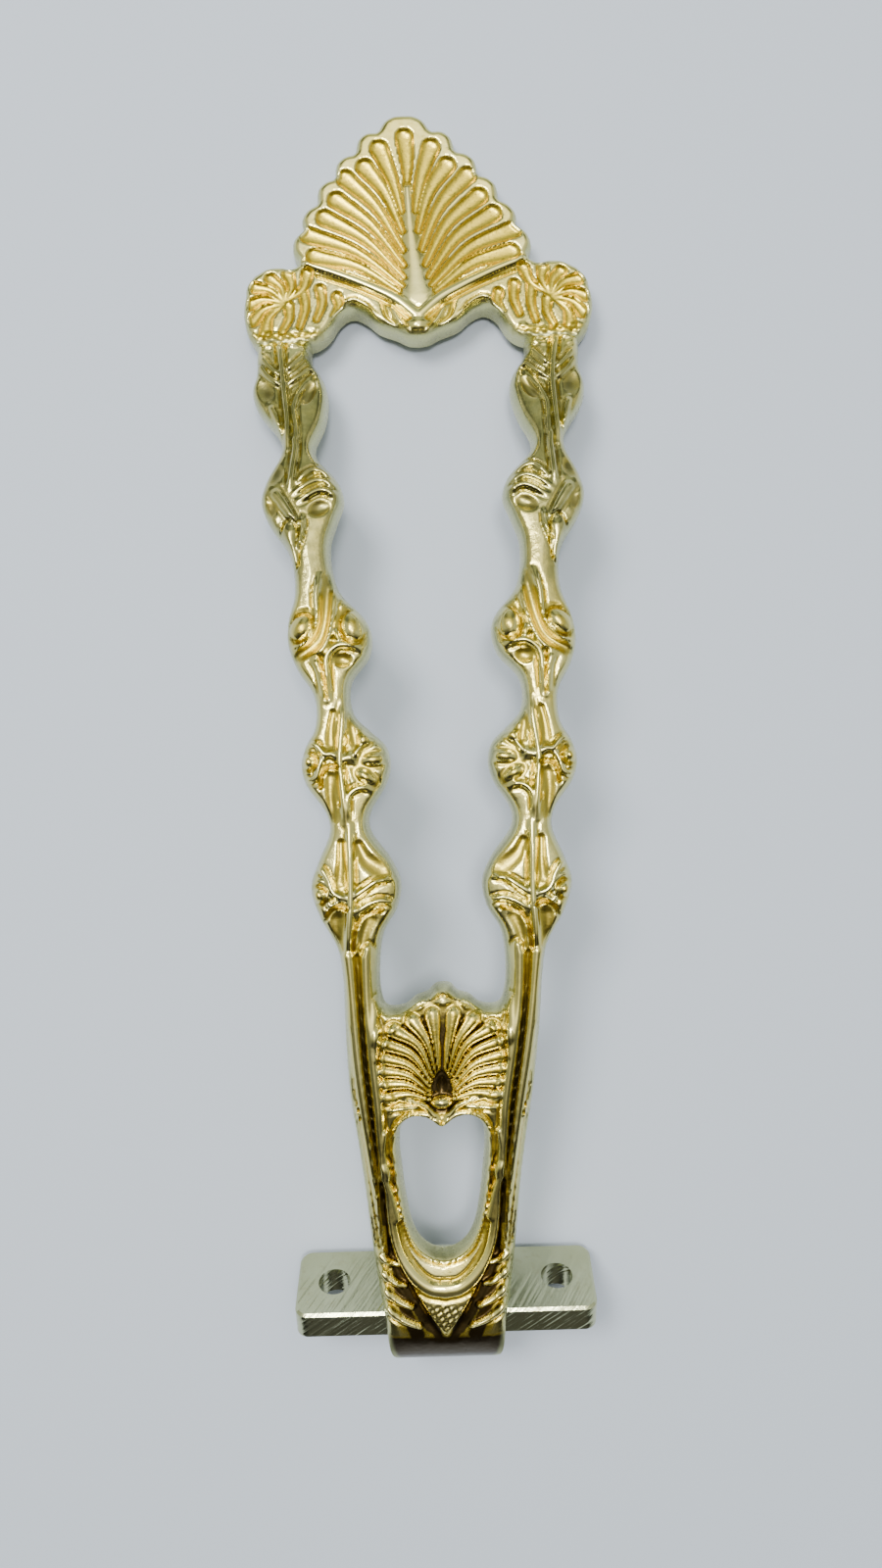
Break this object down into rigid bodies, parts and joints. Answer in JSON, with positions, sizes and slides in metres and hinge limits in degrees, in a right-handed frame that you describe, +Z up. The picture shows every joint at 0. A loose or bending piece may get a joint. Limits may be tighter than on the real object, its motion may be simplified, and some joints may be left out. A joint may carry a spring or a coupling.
{
  "type": "door knocker",
  "caption": "Cast brass door knocker: a long two-armed handle with a shell crest, swinging on a pin in a flat bracket that screws to the door.",
  "frame": {"origin": "centre of the bounding box, on the surface that the part lies on", "axes": "+Y from the hinge bracket to the shell crest, +Z up, out of the decorated front, +X across"},
  "size_m": [0.056, 0.1994, 0.0254],
  "materials": {
    "bracket_brass": "cast brass with a ground front face and fine scratches",
    "pin_brass": "drawn brass rod, dulled",
    "frame_brass": "polished cast brass, grainy, with dark patina in the grooves",
    "crest_brass": "bright polished cast brass with amber recesses"
  },
  "bodies": {
    "bracket": {"hinge_bracket": "bracket_brass"},
    "knocker": {"knocker_frame": "frame_brass", "shell_crest": "crest_brass", "hinge_pin": "pin_brass"}
  },
  "joints": [
    {"name": "knocker_swing", "type": "hinge", "parent": "knocker", "child": "bracket", "pos_m": [0, -0.08445, 0.01029], "axis": [1, 0, 0], "range_deg": [0, 64.8]}
  ]
}
